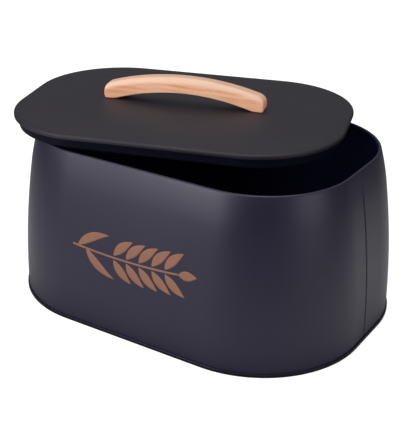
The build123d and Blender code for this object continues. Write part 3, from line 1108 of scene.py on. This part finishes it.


# Floor: pale and matt, and glowing to the camera so that it reads as white and still shows a faint
# shadow. Reflections show it as a painted pool of light round the bin, with painted shade right at
# the bin's foot, that fades with the distance from the bin's rounded outline.
def makeFloor():
    bpy.ops.mesh.primitive_plane_add(size=stageLook["floorSize"],
                                     location=(0, 0, -stageLook["floorDrop"]))
    floor = bpy.context.object
    floor.name = "floor"
    material = bpy.data.materials.new("floorPaper")
    material.use_nodes = True
    tree = material.node_tree
    tree.nodes.clear()
    rays = addNode(tree, "ShaderNodeLightPath").outputs
    paper = addNode(tree, "ShaderNodeBsdfDiffuse", {"Color": opaque(stageLook["floorColour"])})
    glow = addNode(tree, "ShaderNodeEmission", {
        "Color": opaque(1),
        "Strength": numberOf(tree, "MULTIPLY", rays["Is Camera Ray"], stageLook["floorGlow"]),
    })
    lit = addNode(tree, "ShaderNodeAddShader", {0: paper.outputs[0], 1: glow.outputs[0]})

    # Painted light and shade: a glow by distance from the bin's outline, dark at its foot, seen
    # only in reflections.
    place = addNode(tree, "ShaderNodeTexCoord").outputs["Object"]
    past = vectorOf(tree, "SUBTRACT", vectorOf(tree, "ABSOLUTE", place),
                    (halfLength, halfDepth, 0))
    away = vectorOf(tree, "LENGTH", vectorOf(tree, "MAXIMUM", past, (0, 0, 0)))
    share = rangeOf(tree, away, binShape["cornerRadius"],
                    binShape["cornerRadius"] + stageLook["poolReach"])
    pool = addNode(tree, "ShaderNodeEmission", {"Color": rampOf(tree, share, stageLook["pool"])})
    either = addNode(tree, "ShaderNodeMixShader",
                     {0: mirroredRay(tree, rays), 1: lit.outputs[0], 2: pool.outputs[0]})
    addNode(tree, "ShaderNodeOutputMaterial", {"Surface": either.outputs[0]})
    floor.data.materials.append(material)


# World: white to the camera, a studio that brightens from the horizon upwards in reflections, and a
# low even fill for the rest.
def makeWorld():
    world = bpy.data.worlds.new("studio")
    bpy.context.scene.world = world
    world.use_nodes = True
    tree = world.node_tree
    rays = addNode(tree, "ShaderNodeLightPath").outputs
    direction = addNode(tree, "ShaderNodeTexCoord").outputs["Generated"]
    height = addNode(tree, "ShaderNodeSeparateXYZ", {"Vector": direction}).outputs["Z"]
    sky = rampOf(tree, height, stageLook["sky"])
    lit = mixOf(tree, mirroredRay(tree, rays), opaque(stageLook["fill"]), sky)
    seen = mixOf(tree, rays["Is Camera Ray"], lit, opaque(1))
    setInputs(tree, tree.nodes["Background"], {"Color": seen})


lamps = {
    "keySoftbox": {"at": (-0.60, -1.45, 0.60), "size": (0.75, 1.1), "power": 16.5,
                   "aim": (0, 0, 0.1), "colour": (0.95, 0.93, 1.0)},
    "leftSoftbox": {"at": (-1.30, -0.95, 0.55), "size": (0.9, 0.9), "power": 2.5,
                    "aim": (0, 0, 0.1), "colour": (0.95, 0.93, 1.0)},
    "rightStrip": {"at": (1.45, -0.22, 0.28), "size": (0.75, 0.5), "power": 3.6,
                   "aim": (0, 0, 0.08), "colour": (0.92, 0.90, 1.0)},
    "topSoftbox": {"at": (-0.1, -0.8, 1.6), "size": (0.9, 0.7), "power": 2.4,
                   "aim": (0, 0, 0.1), "colour": (1, 1, 1)},
}


# A softbox of a width and a height that looks at its aim.
def addLamp(name, setting):
    data = bpy.data.lights.new(name, "AREA")
    data.shape, data.energy, data.color = "RECTANGLE", setting["power"], setting["colour"]
    data.size, data.size_y = setting["size"]
    lamp = bpy.data.objects.new(name, data)
    lamp.location = setting["at"]
    toAim = Vector(setting["aim"]) - Vector(setting["at"])
    lamp.rotation_euler = toAim.to_track_quat("-Z", "Y").to_euler()
    lamp.visible_camera = False
    bpy.context.collection.objects.link(lamp)


# Angles are in degrees, and the lens and the sensor in the millimetres that cameras are given in.
cameraView = {
    "position": (431.3 * mm, -688.3 * mm, 453.7 * mm),
    "azimuth": 32.4,
    "elevation": 25.24,
    "roll": 0.53,
    "lens": 82.5,
    "sensorWidth": 36,
}


# Camera: azimuth turns it about Z from looking along +Y, elevation raises it, and roll turns the
# picture.
def makeCamera():
    azimuth, elevation, roll = (math.radians(cameraView[turn])
                                for turn in ("azimuth", "elevation", "roll"))
    back = Vector((math.sin(azimuth) * math.cos(elevation),
                   -math.cos(azimuth) * math.cos(elevation), math.sin(elevation)))
    right = Vector((math.cos(azimuth), math.sin(azimuth), 0))
    up = back.cross(right)
    rolledRight = math.cos(roll) * right + math.sin(roll) * up
    rolledUp = math.cos(roll) * up - math.sin(roll) * right
    data = bpy.data.cameras.new("photoCamera")
    data.lens, data.sensor_width = cameraView["lens"], cameraView["sensorWidth"]
    camera = bpy.data.objects.new("photoCamera", data)
    turned = Matrix((rolledRight, rolledUp, back)).transposed().to_4x4()
    camera.matrix_world = Matrix.Translation(cameraView["position"]) @ turned
    bpy.context.collection.objects.link(camera)
    bpy.context.scene.camera = camera


makeFloor()
makeWorld()
for lampName, lampSetting in lamps.items():
    addLamp(lampName, lampSetting)
makeCamera()
bpy.context.scene.view_settings.view_transform = "Standard"
print("stage made")
